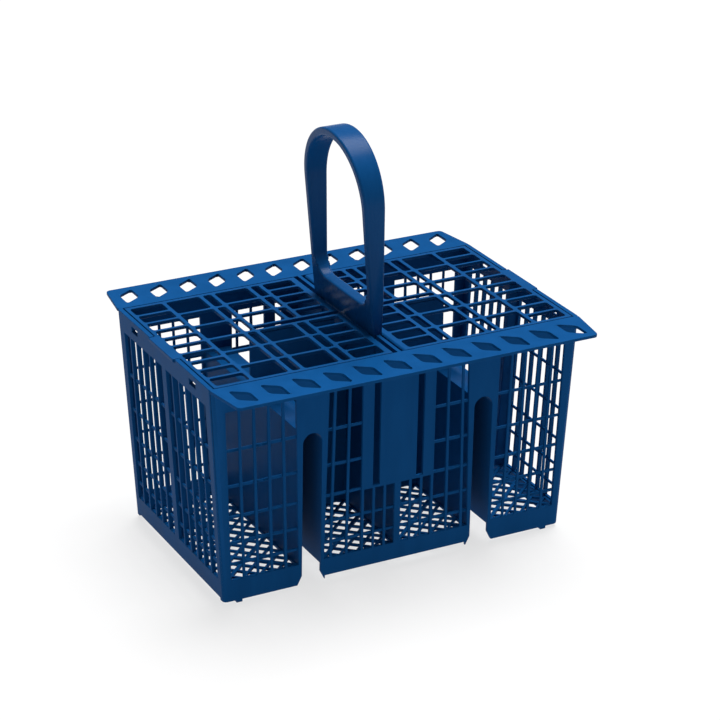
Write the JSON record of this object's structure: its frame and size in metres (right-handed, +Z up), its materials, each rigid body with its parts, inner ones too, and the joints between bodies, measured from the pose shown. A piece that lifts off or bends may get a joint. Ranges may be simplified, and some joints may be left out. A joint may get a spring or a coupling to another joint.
{
  "type": "dishwasher cutlery basket",
  "caption": "Rectangular lattice basket for cutlery in a dishwasher, with pierced side flanges, through tunnels, hinged grid lids and an arched carrying handle.",
  "frame": {"origin": "on the floor under the middle of the basket", "axes": "+X to the right along the long front, +Y to the rear, +Z up"},
  "size_m": [0.2508, 0.1968, 0.264],
  "materials": {
    "blue_plastic": "satin moulded polypropylene"
  },
  "bodies": {
    "basket": {"basket_body": "blue_plastic", "handle": "blue_plastic"},
    "left_cover": {"left_lid": "blue_plastic"},
    "right_cover": {"right_lid": "blue_plastic"}
  },
  "joints": [
    {"name": "left_lid_hinge", "type": "hinge", "parent": "basket", "child": "left_cover", "pos_m": [-0.0058, 0, 0.1416], "axis": [0, 1, 0], "range_deg": [0, 85]},
    {"name": "right_lid_hinge", "type": "hinge", "parent": "basket", "child": "right_cover", "pos_m": [0.0058, 0, 0.1416], "axis": [0, -1, 0], "range_deg": [0, 85]}
  ]
}
